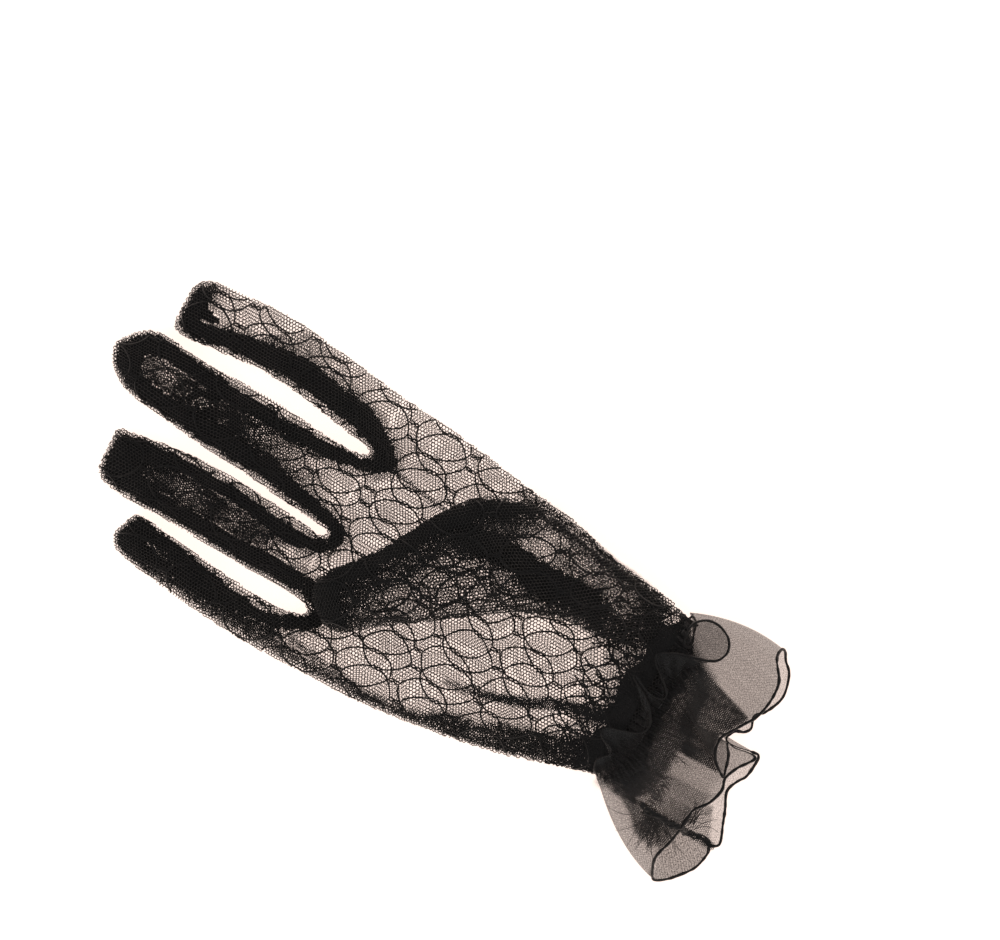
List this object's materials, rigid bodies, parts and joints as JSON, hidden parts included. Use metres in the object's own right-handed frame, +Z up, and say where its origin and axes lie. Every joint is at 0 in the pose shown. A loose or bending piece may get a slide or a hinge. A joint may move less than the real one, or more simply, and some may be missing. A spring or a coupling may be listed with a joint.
{
  "type": "mesh lace dress glove with an organza ruffle",
  "caption": "Short five-finger glove of open lace mesh lying flat, thumb folded over the palm, with a gathered sheer frill at the wrist.",
  "frame": {"origin": "on the table, under the middle of the glove's outline as it lies", "axes": "+Y to the fingertips, +X to the index finger's side, +Z up from the table through the palm"},
  "size_m": [0.0955, 0.2347, 0.0161],
  "materials": {
    "lace": "matt black net lace",
    "seam": "folded, doubled lace, near black",
    "elastic": "ruched lace over an elastic",
    "organza": "sheer black organza with a soft sheen",
    "thread": "rolled thread hem"
  },
  "bodies": {
    "root": {"back_side_lace": "lace", "palm_side_lace": "lace", "little_finger_palm_side_lace": "lace", "ring_finger_palm_side_lace": "lace", "middle_finger_palm_side_lace": "lace", "index_finger_palm_side_lace": "lace", "thumb_under_lace": "lace", "thumb_top_lace": "lace", "lace_hem": "lace", "finger_seam": "seam", "side_seam": "seam", "thumb_seam": "seam", "thumb_hole_seam": "seam", "wrist_elastic": "elastic", "organza_ruffle": "organza", "ruffle_rolled_edge": "thread", "heading_rolled_edge": "thread"}
  },
  "joints": []
}
